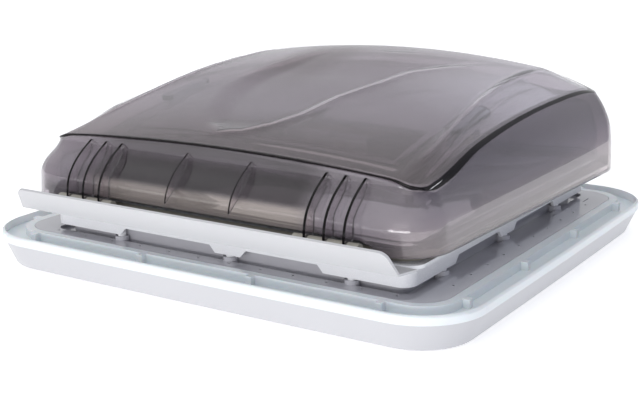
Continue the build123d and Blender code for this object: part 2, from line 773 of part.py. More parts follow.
# Screws: twelve up through the plateau into the pegs, four up through the trim columns
for name, places, seat, length in (
        ("clamp_screws", peg_places, plateau_bottom, clamp_screw_length),
        ("trim_screws", column_places, screw_head_height + seat_gap, trim_screw_length)):
    with BuildPart() as screws:
        with BuildSketch(Plane.XY.offset(seat - screw_head_height)):
            with Locations(*places):
                Circle(screw_head_radius)
                RegularPolygon(screw_radius, 6, mode=Mode.SUBTRACT)
        extrude(amount=screw_head_height)
        with BuildSketch(Plane.XY.offset(seat - screw_head_height / 2)):
            with Locations(*places):
                Circle(screw_radius)
        extrude(amount=length + screw_head_height / 2)
        chamfer(screws.faces().group_by(Axis.Z)[-1].edges(), screw_radius / 3)
    save(screws.part, name)

# Guide rails for the shoes of the bow, on the inner sides of the skirt
rail_inner = skirt_inner - rail_leg
for side, name in ((-1, "guide_rail_left"), (1, "guide_rail_right")):
    with BuildPart() as guide_rail:
        with BuildSketch(Plane.XZ.offset(-rail_end)):
            with BuildLine():
                Polyline((side * skirt_inner, rail_top), (side * rail_inner, rail_top),
                         (side * rail_inner, rail_top - rail_height),
                         (side * (skirt_inner - rail_height), rail_top - rail_height),
                         (side * (skirt_inner - rail_height), rail_top - rail_leg),
                         (side * skirt_inner, rail_top - rail_leg), close=True)
            make_face()
        extrude(amount=rail_end - rail_start)
        with BuildSketch(Plane.XY.offset(rail_top - rail_leg)):
            with Locations(*peg_places):
                Circle(peg_radius + seat_gap)
        extrude(amount=rail_leg, mode=Mode.SUBTRACT)
    save(guide_rail.part, name)

# Keepers on the rear of the frame that hold the closed bow
keeper_back = bow_rear_y + bow_tube_radius + run_gap
keeper_low = bow_z - bow_tube_radius - run_gap - keeper_wall
keeper_high = bow_z + bow_tube_radius + run_gap + keeper_wall
with BuildPart() as latch_keepers:
    for side in (-1, 1):
        with BuildSketch(Plane.YZ.offset(side * keeper_place - keeper_width / 2)):
            with BuildLine():
                Polyline((bow_rear_y - keeper_reach, keeper_low),
                         (keeper_back + keeper_wall, keeper_low),
                         (keeper_back + keeper_wall, flange_top),
                         (upstand_half - upstand_wall, flange_top),
                         (upstand_half - upstand_wall, flange_top + keeper_wall),
                         (keeper_back + keeper_wall, flange_top + keeper_wall),
                         (keeper_back + keeper_wall, keeper_high),
                         (bow_rear_y, keeper_high), (bow_rear_y, keeper_high - keeper_wall),
                         (keeper_back, keeper_high - keeper_wall),
                         (keeper_back, keeper_low + keeper_wall),
                         (bow_rear_y - keeper_reach, keeper_low + keeper_wall), close=True)
            make_face()
        extrude(amount=keeper_width)
save(latch_keepers.part, "latch_keepers")

# Brackets under the flange of the inner dome that carry the bow
lug_inner = bow_half + hub_half_width + run_gap
for side, name in ((-1, "bow_bracket_left"), (1, "bow_bracket_right")):
    with BuildPart() as bow_bracket:
        with BuildSketch(Plane.XY.offset(pane_top)):
            bracket_length = bracket_outer - lug_inner
            with Locations((side * (lug_inner + bracket_length / 2), bow_pivot_y)):
                Rectangle(bracket_length, lug_width)
        extrude(amount=bracket_height)
        with BuildSketch(Plane.YZ.offset(min(side * lug_inner, side * (lug_inner + lug_thickness)))):
            with Locations((bow_pivot_y, bow_z)):
                Circle(lug_width / 2)
            lug_rise = pane_top + bracket_height - bow_z
            with Locations((bow_pivot_y, bow_z + lug_rise / 2)):
                Rectangle(lug_width, lug_rise)
            with Locations((bow_pivot_y, bow_z)):
                Circle(bow_pin_radius + pin_gap, mode=Mode.SUBTRACT)
        extrude(amount=lug_thickness)
    save(bow_bracket.part, name)

# Pivot pins of the bow
with BuildPart() as bow_pins:
    for side in (-1, 1):
        pin_end = lug_inner + lug_thickness
        with BuildSketch(Plane.YZ.offset(min(side * pin_end, side * (bow_half - hub_half_width)))):
            with Locations((bow_pivot_y, bow_z)):
                Circle(bow_pin_radius)
        extrude(amount=pin_end - bow_half + hub_half_width)
    chamfer(bow_pins.edges().filter_by(GeomType.CIRCLE), bow_pin_radius / 5)
save(bow_pins.part, "bow_pins")

# Bow: a bent tube with a stub at each rear corner for its shoe
tube_start = bow_pivot_y + hub_neck
shoe_start = rail_inner - seat_gap / 2
stub_start = bow_half - bow_bend
with BuildPart() as bow_tube:
    with BuildLine(Plane.XY.offset(bow_z)) as bow_path:
        FilletPolyline((-bow_half, tube_start), (-bow_half, bow_rear_y), (bow_half, bow_rear_y),
                       (bow_half, tube_start), radius=bow_bend)
    with BuildSketch(Plane(origin=(-bow_half, tube_start, bow_z), x_dir=(1, 0, 0),
                           z_dir=(0, 1, 0))):
        Circle(bow_tube_radius)
        Circle(bow_tube_radius - bow_tube_wall, mode=Mode.SUBTRACT)
    sweep(path=bow_path.line)
    for side in (-1, 1):
        stub_length = shoe_start + shoe_width + seat_gap - stub_start
        with BuildSketch(Plane.YZ.offset(min(side * stub_start, side * (stub_start + stub_length)))):
            with Locations((bow_rear_y, bow_z)):
                Circle(stub_radius)
        extrude(amount=stub_length)
save(bow_tube.part, "bow_tube")

# Hubs at the front ends of the bow, each plugged into the tube
with BuildPart() as bow_hubs:
    for side in (-1, 1):
        with BuildSketch(Plane.YZ.offset(side * bow_half - hub_half_width)):
            with Locations((bow_pivot_y, bow_z)):
                Circle(hub_radius)
        extrude(amount=2 * hub_half_width)
        with BuildSketch(Plane.XZ.offset(-bow_pivot_y)):
            with Locations((side * bow_half, bow_z)):
                Circle(hub_half_width)
        extrude(amount=-hub_neck)
        with BuildSketch(Plane.XZ.offset(-tube_start)):
            with Locations((side * bow_half, bow_z)):
                Circle(bow_tube_radius - bow_tube_wall - pin_gap)
        extrude(amount=-hub_neck)
    with BuildSketch(Plane.YZ.offset(-bow_half - hub_half_width)):
        with Locations((bow_pivot_y, bow_z)):
            Circle(bow_pin_radius + pin_gap)
    extrude(amount=2 * (bow_half + hub_half_width), mode=Mode.SUBTRACT)
save(bow_hubs.part, "bow_hubs")

# Shoes that ride on the guide rails
with BuildPart() as bow_shoes:
    for side in (-1, 1):
        with BuildSketch(Plane.YZ.offset(min(side * shoe_start, side * (shoe_start + shoe_width)))):
            with Locations((bow_rear_y, bow_z)):
                Circle(shoe_radius)
                Circle(stub_radius + pin_gap, mode=Mode.SUBTRACT)
        extrude(amount=shoe_width)
save(bow_shoes.part, "bow_shoes")

# Grip moulded round the middle of the bow, hollow under its front for the button
grip_bottom = bow_z - grip_below
grip_top = bow_z + grip_above
grip_mid_y = bow_rear_y + (grip_rear - grip_front) / 2
button_y = bow_rear_y - button_place
button_stop = grip_bottom + button_flange
button_top = button_stop + seat_gap + button_flange
with BuildPart() as bow_grip:
    with BuildSketch(Plane.XY.offset(grip_bottom)):
        with Locations((0, grip_mid_y)):
            RectangleRounded(2 * grip_half, grip_front + grip_rear, grip_corner)
    extrude(amount=grip_top - grip_bottom)
    fillet(bow_grip.faces().sort_by(Axis.Z)[-1].edges(), grip_edge)
    fillet(bow_grip.faces().sort_by(Axis.Z)[0].edges(), grip_edge)
    with BuildSketch(Plane.XY.offset(grip_bottom)):
        with Locations((0, button_y)):
            Rectangle(2 * (button_half + run_gap), button_depth + 2 * run_gap)
    extrude(amount=button_flange, mode=Mode.SUBTRACT)
    with BuildSketch(Plane.XY.offset(button_stop)):
        with Locations((0, button_y)):
            Rectangle(2 * (button_half + button_flange + run_gap),
                      button_depth + 2 * button_flange + run_gap)
    extrude(amount=button_flange + 3 * seat_gap + spring_height, mode=Mode.SUBTRACT)
    with BuildSketch(Plane.YZ.offset(-grip_half)):
        with Locations((bow_rear_y, bow_z)):
            Circle(bow_tube_radius + pin_gap)
    extrude(amount=2 * grip_half, mode=Mode.SUBTRACT)
save(bow_grip.part, "bow_grip")

# Lock button with the flange that stops it, and its folded leaf spring
with BuildPart() as lock_button:
    with BuildSketch(Plane.XY.offset(grip_bottom - button_proud)):
        with Locations((0, button_y)):
            Rectangle(2 * button_half, button_depth)
    extrude(amount=button_proud + button_flange + seat_gap)
    fillet(lock_button.faces().sort_by(Axis.Z)[0].edges(), button_flange / 2)
    with BuildSketch(Plane.XY.offset(button_stop + seat_gap)):
        with Locations((0, button_y)):
            Rectangle(2 * (button_half + button_flange / 2), button_depth + button_flange)
    extrude(amount=button_flange)
save(lock_button.part, "lock_button")
spring_near = [(spring_half * (-1) ** step - spring_fold / 2,
                button_top + seat_gap + step * spring_height / spring_leaves)
               for step in range(spring_leaves + 1)]
spring_far = [(x + spring_fold, z) for x, z in reversed(spring_near)]
with BuildPart() as button_spring:
    with BuildSketch(Plane.XZ.offset(-button_y - spring_width / 2)):
        with BuildLine():
            Polyline(*spring_near, *spring_far, close=True)
        make_face()
    extrude(amount=spring_width)
save(button_spring.part, "button_spring")

# Side rails: two channels one above the other, blind on top and fly screen below
rail_levels = [channel_base + step * (channel_gap + channel_flange) for step in (0, 1, 2)]
for side, name in ((-1, "side_rail_left"), (1, "side_rail_right")):
    with BuildPart() as side_rail:
        web = channel_outer - channel_wall
        with BuildSketch(Plane.XZ.offset(-channel_half_length)):
            with Locations((side * (web + channel_wall / 2),
                            (rail_levels[0] + rail_levels[-1] + channel_flange) / 2)):
                Rectangle(channel_wall, rail_levels[-1] + channel_flange - rail_levels[0])
            for level in rail_levels:
                with Locations((side * (channel_inner + web) / 2, level + channel_flange / 2)):
                    Rectangle(web - channel_inner, channel_flange)
        extrude(amount=2 * channel_half_length)
    save(side_rail.part, name)

# Cassettes of blind and screen, their pull bars and the folded fabrics
cassette_rear = cassette_start + cassette_depth
fold_start = bar_rest_y + bar_depth / 2 + seat_gap
fold_end = cassette_rear - cassette_wall - seat_gap
fold_step = (fold_end - fold_start) / (2 * pleat_count)
fold_high = (bar_height - pleat_rise) / 2 - bar_edge
for kind, end, level in (("blind", 1, blind_level), ("screen", -1, screen_level)):
    with BuildPart() as cassette:
        with BuildSketch(Plane.XY.offset(channel_base)):
            with Locations((0, end * (cassette_start + cassette_depth / 2))):
                Rectangle(2 * cassette_half, cassette_depth)
        extrude(amount=cassette_top - channel_base)
        with BuildSketch(Plane.XY.offset(channel_base + cassette_wall)):
            with Locations((0, end * (cassette_start + cassette_depth / 2 - cassette_wall))):
                Rectangle(2 * (cassette_half - cassette_wall), cassette_depth)
        extrude(amount=cassette_top - channel_base - 2 * cassette_wall, mode=Mode.SUBTRACT)
    save(cassette.part, f"{kind}_cassette")
    with BuildPart() as bar:
        with BuildSketch(Plane.YZ.offset(-bar_half_length)):
            with Locations((end * bar_rest_y, level)):
                RectangleRounded(bar_depth, bar_height, bar_edge)
        extrude(amount=2 * bar_half_length)
        with BuildSketch(Plane.XY.offset(level - bar_height / 2 - pull_drop)):
            with Locations((0, end * bar_rest_y)):
                RectangleRounded(2 * pull_half, pull_depth, pull_depth / 3)
        extrude(amount=pull_drop + bar_edge)
    save(bar.part, f"{kind}_bar")
    near = [(fold_start + step * fold_step, level - pleat_rise / 2 + fold_high * (-1) ** step)
            for step in range(2 * pleat_count + 1)]
    far = [(y, z + pleat_rise) for y, z in reversed(near)]
    with BuildPart() as folds:
        with BuildSketch(Plane.YZ.offset(-fabric_half)):
            with BuildLine():
                Polyline(*[(end * y, z) for y, z in near + far], close=True)
            make_face()
        extrude(amount=2 * fabric_half)
    save(folds.part, "blind_fabric" if kind == "blind" else "screen_net")
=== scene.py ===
import math

import bmesh
import bpy
from mathutils import Matrix, Vector


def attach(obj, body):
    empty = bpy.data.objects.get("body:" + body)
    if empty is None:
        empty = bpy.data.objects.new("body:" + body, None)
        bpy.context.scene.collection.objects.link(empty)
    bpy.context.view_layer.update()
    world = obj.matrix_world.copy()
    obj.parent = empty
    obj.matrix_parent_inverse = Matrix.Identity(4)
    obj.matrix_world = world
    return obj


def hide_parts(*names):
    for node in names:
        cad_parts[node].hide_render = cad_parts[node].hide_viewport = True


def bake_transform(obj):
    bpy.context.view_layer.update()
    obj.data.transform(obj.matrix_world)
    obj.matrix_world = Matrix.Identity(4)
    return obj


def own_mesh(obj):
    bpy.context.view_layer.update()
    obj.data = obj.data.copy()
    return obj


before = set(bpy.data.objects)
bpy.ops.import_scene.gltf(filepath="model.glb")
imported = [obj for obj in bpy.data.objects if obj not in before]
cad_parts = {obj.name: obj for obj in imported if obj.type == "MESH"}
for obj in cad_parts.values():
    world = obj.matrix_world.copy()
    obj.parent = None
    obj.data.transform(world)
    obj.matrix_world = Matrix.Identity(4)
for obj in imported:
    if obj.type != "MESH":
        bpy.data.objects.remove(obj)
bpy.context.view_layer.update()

# Caravan roof vent, closed. Metres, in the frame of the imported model: X along the hinge,
# Y to the rear, Z up. The panes of the dome are modelled here, because a glossy clear
# moulding needs a finer and smoother skin than the solid has.
MM = 0.001


# ---------------------------------------------------------------- finishes

def linear(code):
    """An sRGB hex value as a linear colour with full alpha."""
    parts = [int(code[i:i + 2], 16) / 255 for i in (1, 3, 5)]
    return (*[c / 12.92 if c <= 0.04045 else ((c + 0.055) / 1.055) ** 2.4 for c in parts], 1.0)


def add(tree, kind, inputs=(), **settings):
    """Adds one shader node; inputs are pairs of a socket and its value or the output it takes."""
    made = tree.nodes.new(kind)
    for name, value in settings.items():
        setattr(made, name, value)
    for socket, value in inputs:
        if isinstance(value, bpy.types.NodeSocket):
            tree.links.new(value, made.inputs[socket])
        else:
            made.inputs[socket].default_value = value
    return made


def moulded(name, light, dark, roughness, grain, relief, speck=0.9, zones=(), **shader):
    """A moulded surface: drift between two tones, grain of a size in mm, and gloss that varies.
    Each zone is another tone with the ranges of X, Y or Z in mm over which it comes in."""
    skin = bpy.data.materials.new(name)
    skin.use_nodes = True
    tree = skin.node_tree
    tree.nodes.clear()
    place = add(tree, "ShaderNodeTexCoord").outputs["Object"]
    drift = add(tree, "ShaderNodeTexNoise", [("Vector", place), ("Scale", 6.0), ("Detail", 2.0)])
    fine = add(tree, "ShaderNodeTexNoise",
               [("Vector", place), ("Scale", 1000.0 / grain), ("Detail", 3.0), ("Roughness", 0.6)])
    tone = add(tree, "ShaderNodeMix", [("Factor", drift.outputs["Fac"]), (6, linear(light)),
                                       (7, linear(dark))], data_type="RGBA")
    apart = add(tree, "ShaderNodeSeparateXYZ", [("Vector", place)]) if zones else None
    for code, ranges in zones:
        share = 1.0
        for axis, start, stop in ranges:
            step = add(tree, "ShaderNodeMapRange",
                       [("Value", apart.outputs[axis]), ("From Min", start * MM),
                        ("From Max", stop * MM)],
                       interpolation_type="SMOOTHSTEP")
            share = add(tree, "ShaderNodeMath", [(0, step.outputs["Result"]), (1, share)],
                        operation="MULTIPLY").outputs[0]
        tone = add(tree, "ShaderNodeMix",
                   [("Factor", share), (6, tone.outputs[2]), (7, linear(code))], data_type="RGBA")
    gloss = add(tree, "ShaderNodeMapRange",
                [("Value", fine.outputs["Fac"]), ("From Min", 0.3), ("From Max", 0.7),
                 ("To Min", roughness * speck), ("To Max", roughness / speck)])
    bump = add(tree, "ShaderNodeBump", [("Height", fine.outputs["Fac"]), ("Strength", relief),
                                        ("Distance", 0.0002)])
    body = add(tree, "ShaderNodeBsdfPrincipled",
               [("Base Color", tone.outputs[2]), ("Roughness", gloss.outputs["Result"]),
                ("Normal", bump.outputs["Normal"])]
               + [(k.replace("_", " "), v) for k, v in shader.items()])
    add(tree, "ShaderNodeOutputMaterial", [("Surface", body.outputs["BSDF"])])
    return skin


# Acrylic, tinted through and pressed in a polished mould: hard reflections over a faint haze.
# Its tint carries painted shade, browner at the front and deeper on the left slope of the tongue,
# and painted light, pale to the right
smoked_lid = moulded("smoked_acrylic_polished", "#cfc6cd", "#c8bfc6", 0.03, 40.0, 0.0,
                     zones=[("#a5979b", [("Y", -70.0, -190.0)]),
                            ("#f6f2fa", [("X", 30.0, 180.0), ("Y", -110.0, 60.0)]),
                            ("#a2959a", [("X", -112.0, -84.0), ("X", -8.0, -52.0),
                                         ("Y", -60.0, 50.0)])],
                     IOR=1.49, Transmission_Weight=0.95)
# The deep-drawn wall of the same sheet, hazier than the lid under its polish. Its tint carries
# painted shade high up on the right side under the lip, painted light at the low right corner, and
# between the ribs of the front painted light low down and painted shade where the wall draws in
# under the lip
BETWEEN_RIBS = [("Y", -184.0, -194.0), ("X", -150.0, -110.0), ("X", 125.0, 88.0)]
smoked_wall = moulded("smoked_acrylic_drawn", "#bdb4bc", "#b7aeb6", 0.045, 40.0, 0.0,
                      zones=[("#8f858f", [("X", 184.0, 198.0), ("Z", 98.0, 140.0)]),
                             ("#d2c7c9", [("X", 150.0, 215.0), ("Z", 110.0, 76.0)]),
                             ("#dcd1ca", [*BETWEEN_RIBS, ("Z", 104.0, 94.0)]),
                             ("#4e444a", [*BETWEEN_RIBS, ("Z", 94.0, 101.0)])],
                      IOR=1.49, Transmission_Weight=0.8, Coat_Weight=0.5, Coat_Roughness=0.03)
# The sheet seen on edge: light is lost along the way, so it looks almost black and has little
# shine; this is painted shade, a near-black colour
smoked_edge = moulded("smoked_acrylic_on_edge", "#151013", "#0e0a0c", 0.12, 2.0, 0.0,
                      IOR=1.49, Transmission_Weight=0.1, Specular_IOR_Level=0.22)
# Ribs moulded with the wall: clear enough to see the wall through them
smoked_rib = moulded("smoked_acrylic_rib", "#f0eaee", "#e9e3e7", 0.05, 30.0, 0.0,
                     IOR=1.49, Transmission_Weight=0.96)
# Clear acrylic of the inner pane, drawn over a former, so faintly wavy
clear_acrylic = moulded("clear_acrylic_drawn", "#f0f1f3", "#e9ebee", 0.03, 22.0, 0.03,
                        IOR=1.49, Transmission_Weight=0.92)
clear_clip = moulded("clear_clip_moulded", "#dfe6ea", "#cfd8dc", 0.06, 2.0, 0.05,
                     IOR=1.49, Transmission_Weight=0.9)
# ASA, moulded with a polished tool: bright white with a soft sheen, outdoors grade. The upstand
# and the knuckles above the flange turn grey-olive, coming in from 65.2 to 66.4 mm up
frame_white = moulded("asa_white_semi_gloss", "#f2f2f4", "#eaeaed", 0.26, 1.2, 0.08,
                      zones=[("#aeaa9f", [("Z", 65.2, 66.4)])], IOR=1.5)
deflector_white = moulded("asa_white_polished", "#cbcbcd", "#c5c5c8", 0.22, 1.2, 0.06, IOR=1.5)
# ABS in light grey, polished tool: mirrors the skirt above it
carrier_grey = moulded("abs_grey_gloss", "#c3c2c8", "#bab9bf", 0.06, 1.6, 0.02,
                       IOR=1.6, Coat_Weight=0.5, Coat_Roughness=0.02)
# Polycarbonate with a milky blue-white tint: light gets into it and softens its edges
tray_milky = moulded("polycarbonate_milky", "#f0f5f7", "#e8eef2", 0.16, 2.4, 0.04,
                     IOR=1.58, Subsurface_Weight=0.15, Subsurface_Scale=0.004)
# ABS trim in white, fine satin grain
trim_white = moulded("abs_white_satin", "#c9c9cc", "#c3c3c7", 0.34, 0.9, 0.12, IOR=1.52)
# EPDM sealing strip: dull grey-olive that swallows highlights
seal_rubber = moulded("epdm_seal_matt", "#8b877c", "#7d796f", 0.7, 1.1, 0.3, IOR=1.5)
# Nylon for the sliding fittings: warm grey and waxy
nylon_grey = moulded("nylon_natural_satin", "#c9c4b8", "#b9b4a8", 0.42, 0.8, 0.15, IOR=1.53)
grip_grey = moulded("abs_dark_grey_grained", "#55565a", "#46474b", 0.5, 0.7, 0.35, IOR=1.52)
button_grey = moulded("abs_mid_grey_satin", "#8e8f94", "#808186", 0.38, 0.8, 0.15, IOR=1.52)


def metal(name, light, dark, roughness, pull):
    """Drawn or plated metal: faint streaks along one axis, closer together across it."""
    skin = bpy.data.materials.new(name)
    skin.use_nodes = True
    tree = skin.node_tree
    tree.nodes.clear()
    place = add(tree, "ShaderNodeTexCoord").outputs["Object"]
    stretch = add(tree, "ShaderNodeMapping", [("Vector", place), ("Scale", pull)])
    streak = add(tree, "ShaderNodeTexNoise", [("Vector", stretch.outputs["Vector"]), ("Scale", 1.0),
                                              ("Detail", 4.0)])
    tone = add(tree, "ShaderNodeMix", [("Factor", streak.outputs["Fac"]), (6, linear(light)),
                                       (7, linear(dark))], data_type="RGBA")
    gloss = add(tree, "ShaderNodeMapRange",
                [("Value", streak.outputs["Fac"]), ("To Min", roughness * 0.7),
                 ("To Max", roughness * 1.4)])
    body = add(tree, "ShaderNodeBsdfPrincipled",
               [("Base Color", tone.outputs[2]), ("Roughness", gloss.outputs["Result"]),
                ("Metallic", 1.0)])
    add(tree, "ShaderNodeOutputMaterial", [("Surface", body.outputs["BSDF"])])
    return skin


# Aluminium tube, satin anodised: a fine even grain, because the tube is bent
bow_aluminium = metal("aluminium_satin_anodised", "#d3d4d6", "#b9bbbe", 0.3, (900.0, 900.0, 900.0))
# Zinc plated steel pins and screws: bright with a bluish cast
plated_steel = metal("steel_zinc_plated", "#cfd3d8", "#a9aeb5", 0.22, (700.0, 250.0, 700.0))


WAVE = 314.0              # mm from band to band of the wave texture at scale 1


def cloth(name, light, dark, thread, relief, **shader):
    """Woven cloth: two crossed waves at the thread spacing in mm."""
    skin = bpy.data.materials.new(name)
    skin.use_nodes = True
    tree = skin.node_tree
    tree.nodes.clear()
    place = add(tree, "ShaderNodeTexCoord").outputs["Object"]
    warp, weft = (add(tree, "ShaderNodeTexWave", [("Vector", place), ("Scale", WAVE / thread),
                                                  ("Distortion", 0.6)], bands_direction=axis)
                  for axis in "XY")
    weave = add(tree, "ShaderNodeMath", [(0, warp.outputs["Fac"]), (1, weft.outputs["Fac"])],
                operation="MULTIPLY")
    tone = add(tree, "ShaderNodeMix",
               [("Factor", weave.outputs[0]), (6, linear(dark)), (7, linear(light))],
               data_type="RGBA")
    bump = add(tree, "ShaderNodeBump", [("Height", weave.outputs[0]), ("Strength", relief),
                                        ("Distance", 0.0003)])
    body = add(tree, "ShaderNodeBsdfPrincipled",
               [("Base Color", tone.outputs[2]), ("Roughness", 0.85),
                ("Normal", bump.outputs["Normal"])]
               + [(k.replace("_", " "), v) for k, v in shader.items()])
    add(tree, "ShaderNodeOutputMaterial", [("Surface", body.outputs["BSDF"])])
    return skin


# Polyester pleats of the blind, and the fine glass-fibre net of the fly screen, each drawn with
# a thread spacing in mm that is coarser than the real one, so that it shows
blind_cloth = cloth("polyester_pleats", "#dad8d2", "#bdbab2", 0.6, 0.3, Sheen_Weight=0.2)
screen_cloth = cloth("fibreglass_net", "#3a3a3c", "#171719", 1.2, 0.5, Alpha=0.6)

finishes = {
    "outer_dome": smoked_lid, "inner_dome": clear_acrylic, "dome_clips": clear_clip,
    "dome_seal": seal_rubber, "outer_frame": frame_white, "wind_deflector": deflector_white,
    "carrier_frame": carrier_grey, "ceiling_tray": tray_milky, "trim_frame": trim_white,
    "hinge_pin_left": plated_steel, "hinge_pin_right": plated_steel,
    "clamp_screws": plated_steel, "trim_screws": plated_steel,
    "guide_rail_left": nylon_grey, "guide_rail_right": nylon_grey, "latch_keepers": nylon_grey,
    "side_rail_left": trim_white, "side_rail_right": trim_white,
    "blind_cassette": trim_white, "screen_cassette": trim_white,
    "bow_bracket_left": nylon_grey, "bow_bracket_right": nylon_grey, "bow_pins": plated_steel,
    "bow_tube": bow_aluminium, "bow_hubs": grip_grey, "bow_shoes": nylon_grey,
    "bow_grip": grip_grey, "button_spring": plated_steel, "lock_button": button_grey,
    "blind_bar": trim_white, "blind_fabric": blind_cloth,
    "screen_bar": trim_white, "screen_net": screen_cloth,
}
for node, finish in finishes.items():
    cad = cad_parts[node]
    cad.data.materials.clear()
    cad.data.materials.append(finish)


# ---------------------------------------------------------------- the dome's form, in mm

BOTTOM, HEIGHT = 69.6, 114.4
FRONT, REAR, FRONT_HALF, REAR_HALF = 213.5, 221.0, 222.5, 234.0
LIP_FRONT, LIP_REAR, LIP_HALF = 192.0, 204.0, 202.0
RAISED, RAISED_HALF, RAISED_SLOPE, RAISED_FRONT = 79.4, 157.0, 28.0, -200.0
# height, front, rear, front half, rear half, front corner, rear corner: shares of the sizes above
WALL = ((0.0, 1.0, 1.0, 1.0, 1.0, 0.18, 0.23),
        (0.248, 0.995, 1.0, 0.989, 0.987, 0.17, 0.2),
        (0.414, 0.892, 0.996, 0.93, 0.962, 0.115, 0.15),
        (0.572, 0.892, 0.986, 0.912, 0.918, 0.1, 0.12),
        (0.703, 0.892, 0.968, 0.905, 0.872, 0.1, 0.115),
        (1.05, 0.88, 0.918, 0.893, 0.842, 0.095, 0.11))
# depth, lip height, crease height, crown height, place of the crease: shares as above
CROWN = ((-0.973, 0.406, 0.476, 0.528, 0.906), (-0.869, 0.446, 0.519, 0.594, 0.906),
         (-0.679, 0.497, 0.589, 0.681, 0.897), (-0.407, 0.624, 0.703, 0.777, 0.872),
         (0.0, 0.707, 0.847, 0.913, 0.823), (0.407, 0.733, 0.904, 1.0, 0.788),
         (0.724, 0.72, 0.899, 0.996, 0.778), (0.905, 0.668, 0.816, 0.913, 0.778),
         (1.09, 0.56, 0.685, 0.775, 0.778))
# The dished tongue in the lid, front end first: top and foot of its left slope, and its S-line
TONGUE_OUTER = ((-42, -160), (-66, -128), (-84, -92), (-95, -60), (-99, -28), (-96, 10), (-88, 60),
                (-78, 120))
TONGUE_INNER = ((-30, -138), (-46, -100), (-60, -62), (-66, -28), (-64, 10), (-58, 60), (-52, 120))
TONGUE_RIGHT = ((-42, -160), (-20, -168), (4, -160), (22, -136), (35, -105), (43, -54), (60, -5),
                (70, 39), (86, 65), (104, 92), (124, 130))
TONGUE_DEPTH, TONGUE_SLOPE = 5.5, 17.0
TONGUE_TIP, TONGUE_END = (-176.0, 50.0), (128.0, 120.0)     # place and length of each fade
ROLL, ROLL_WIDTH, ROLL_TIP, ROLL_END = 1.5, 8.5, (-46.0, 40.0), (132.0, 150.0)
BEAD, BEAD_WIDTH, BEAD_TIP, BEAD_END = 1.8, 3.8, (-172.0, 50.0), (150.0, 60.0)
CREASE_SOFT = 1.6
LID_TOP = 185.4
LID, PANE = 3.0, 2.5      # thickness of each sheet


def smooth(x):
    """Rises from 0 to 1 with flat ends."""
    x = min(max(x, 0.0), 1.0)
    return x * x * (3 - 2 * x)


def along(table, x, straight=False):
    """The row of a table at x: a smooth curve through its rows, or straight lines between them."""
    last = len(table) - 1
    i = 0
    while i < last - 1 and x > table[i + 1][0]:
        i += 1
    a, b = table[i], table[i + 1]
    t = (x - a[0]) / (b[0] - a[0])
    if straight or t < 0 or t > 1:
        return [p + (q - p) * t for p, q in zip(a, b)]
    before, after = table[max(i - 1, 0)], table[min(i + 2, last)]
    row = []
    for p, q, r, s in zip(before, a, b, after):
        near = (r - p) * (b[0] - a[0]) / max(b[0] - before[0], 1e-9)
        far = (s - q) * (b[0] - a[0]) / max(after[0] - a[0], 1e-9)
        row.append((2 * t**3 - 3 * t**2 + 1) * q + (t**3 - 2 * t**2 + t) * near
                   + (3 * t**2 - 2 * t**3) * r + (t**3 - t**2) * far)
    return row


def fade_in(x, start):
    """Rises from 0 to 1 from a place on, over a length."""
    return smooth((x - start[0]) / start[1])


def fade_out(x, end):
    """Falls from 1 to 0 towards a place, over a length."""
    return smooth((end[0] - x) / end[1])


def distance(line, x, y):
    """Distance in mm from a point to a line through points, negative on its left."""
    best, side = 1e9, 1.0
    for (ax, ay), (bx, by) in zip(line, line[1:]):
        dx, dy = bx - ax, by - ay
        t = min(max(((x - ax) * dx + (y - ay) * dy) / (dx * dx + dy * dy), 0.0), 1.0)
        px, py = x - ax - t * dx, y - ay - t * dy
        d = math.hypot(px, py)
        if d < best:
            best, side = d, (1.0 if dx * py - dy * px < 0 else -1.0)
    return best * side


def lid_height(x, y, drop=0.0, dished=True):
    """Height of the lid over a point of the plan: crowned middle, flanks past a soft crease."""
    _, lip, crease, crown, place = along(CROWN, y / REAR)
    lip, crease, crown = (BOTTOM + share * HEIGHT for share in (lip, crease, crown))
    edge = place * LIP_HALF
    middle = crown - (crown - crease) * (x / edge) ** 2
    flank = crease - (crease - lip) * (abs(x) - edge) / (LIP_HALF - edge)
    height = (0.5 * (middle + flank - math.sqrt((middle - flank) ** 2 + CREASE_SOFT ** 2))
              + CREASE_SOFT / 2)
    height += (BEAD * math.exp(-((abs(x) - edge) / BEAD_WIDTH) ** 2)
               * fade_in(y, BEAD_TIP) * fade_out(y, BEAD_END))
    if dished:
        line = distance(TONGUE_RIGHT, x, y)
        right = smooth(-line / TONGUE_SLOPE)
        if right > 0:
            outer, inner = distance(TONGUE_OUTER, x, y), distance(TONGUE_INNER, x, y)
            left = (0.0 if outer < 0 else 1.0 if inner > 0
                    else smooth(outer / max(outer - inner, 1e-6)))
            height -= (TONGUE_DEPTH * right * left
                       * fade_in(y, TONGUE_TIP) * fade_out(y, TONGUE_END))
        height += (ROLL * math.exp(-(line / ROLL_WIDTH) ** 2)
                   * fade_in(x, ROLL_TIP) * fade_out(y, ROLL_END))
    return min(height, LID_TOP) - drop


def wall_shape(z, inset):
    """The wall's plan at a height: front, rear, halves and corner radii, drawn in by inset."""
    rows = [along(WALL, (z + step - BOTTOM) / HEIGHT, True) for step in (-6, -3, 0, 3, 6)]
    _, front, rear, front_half, rear_half, front_round, rear_round = [
        sum(column) / len(rows) for column in zip(*rows)]
    return (front * FRONT - inset, rear * REAR - inset, front_half * FRONT_HALF - inset,
            rear_half * REAR_HALF - inset, max(front_round * FRONT_HALF - inset, 3.0),
            max(rear_round * REAR_HALF - inset, 3.0), 0.0)


SIDE, ARC = 160, 10      # steps along one side of the plan, and in half a corner
WELD = 0.02              # points of a piece that lie closer than this, in mm, become one


